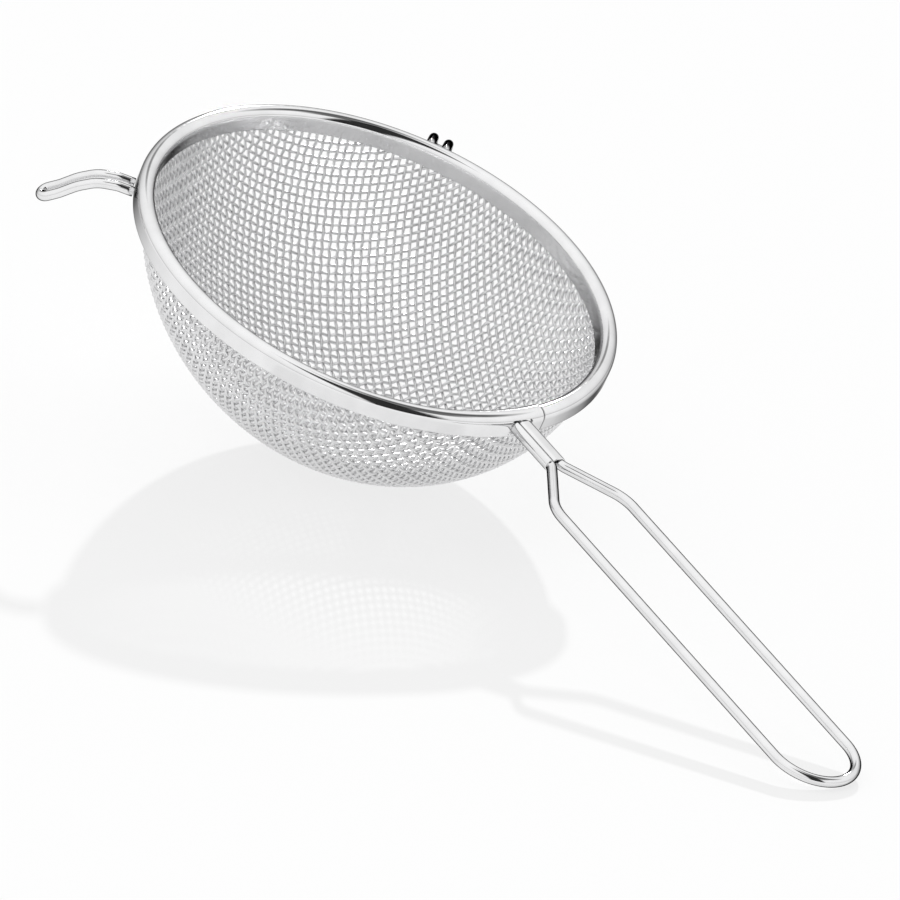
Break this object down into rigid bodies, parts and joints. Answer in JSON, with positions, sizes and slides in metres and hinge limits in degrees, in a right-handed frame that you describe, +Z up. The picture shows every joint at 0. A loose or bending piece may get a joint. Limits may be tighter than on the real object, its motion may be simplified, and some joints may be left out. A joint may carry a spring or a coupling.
{
  "type": "tea strainer",
  "caption": "Round wire-mesh tea strainer with a rolled rim band, a long wire loop handle held by a ferrule, and wire hooks that rest on a cup.",
  "frame": {"origin": "middle of the strainer's length and width on the surface it is put down on; it stands on the bowl's bottom and the end of the handle", "axes": "+Z up from the table, +X towards the end of the handle, Y across; the rim tips 14.3 degrees down towards the handle"},
  "size_m": [0.1612, 0.0846, 0.043],
  "materials": {
    "polished_steel": "polished stainless steel",
    "wire_cloth": "bright drawn stainless wire, plain weave"
  },
  "bodies": {
    "root": {"rim_band": "polished_steel", "frame_wire": "polished_steel", "handle_ferrule": "polished_steel", "rest_hook_left": "polished_steel", "rest_hook_right": "polished_steel", "mesh_bowl": "wire_cloth"}
  },
  "joints": []
}
